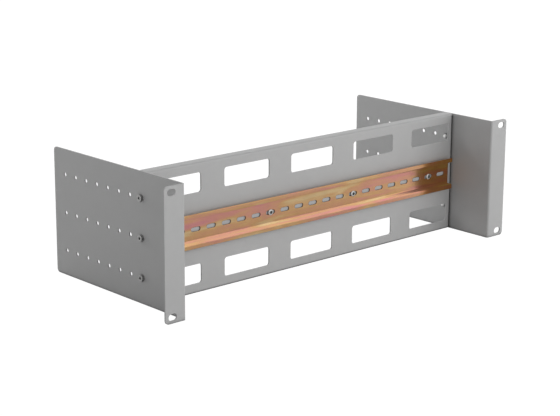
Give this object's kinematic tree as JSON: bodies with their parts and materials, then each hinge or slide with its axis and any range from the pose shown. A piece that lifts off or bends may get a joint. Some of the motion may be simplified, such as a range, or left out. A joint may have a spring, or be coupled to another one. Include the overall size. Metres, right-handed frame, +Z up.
{
  "type": "rack-mount din rail panel",
  "caption": "Rack panel with folded side brackets and slotted ears, whose recessed cross plate with windows carries a horizontal top-hat rail for clip-on devices.",
  "frame": {"origin": "centre of the four ear slots, on the plane of the ears' rear faces, which bear on the rack's posts", "axes": "+X to the right as seen from the front, +Y to the back of the rack, +Z up"},
  "size_m": [0.4826, 0.21, 0.133],
  "materials": {
    "painted_sheet": "light grey powder coat, satin, very fine texture",
    "passivated_rail": "zinc with yellow passivation, iridescent from gold to pink",
    "screw_steel": "bright zinc",
    "rivet_body": "plain, slightly dull",
    "rivet_mandrel": "dull zinc, dark at the break"
  },
  "bodies": {
    "root": {"left_bracket": "painted_sheet", "right_bracket": "painted_sheet", "panel": "painted_sheet", "din_rail": "passivated_rail", "left_top_screw": "screw_steel", "left_middle_screw": "screw_steel", "left_bottom_screw": "screw_steel", "right_top_screw": "screw_steel", "right_middle_screw": "screw_steel", "right_bottom_screw": "screw_steel", "rivet_1": "rivet_body", "rivet_2": "rivet_body", "rivet_3": "rivet_body", "rivet_4": "rivet_body", "rivet_1_mandrel": "rivet_mandrel", "rivet_2_mandrel": "rivet_mandrel", "rivet_3_mandrel": "rivet_mandrel", "rivet_4_mandrel": "rivet_mandrel"}
  },
  "joints": []
}
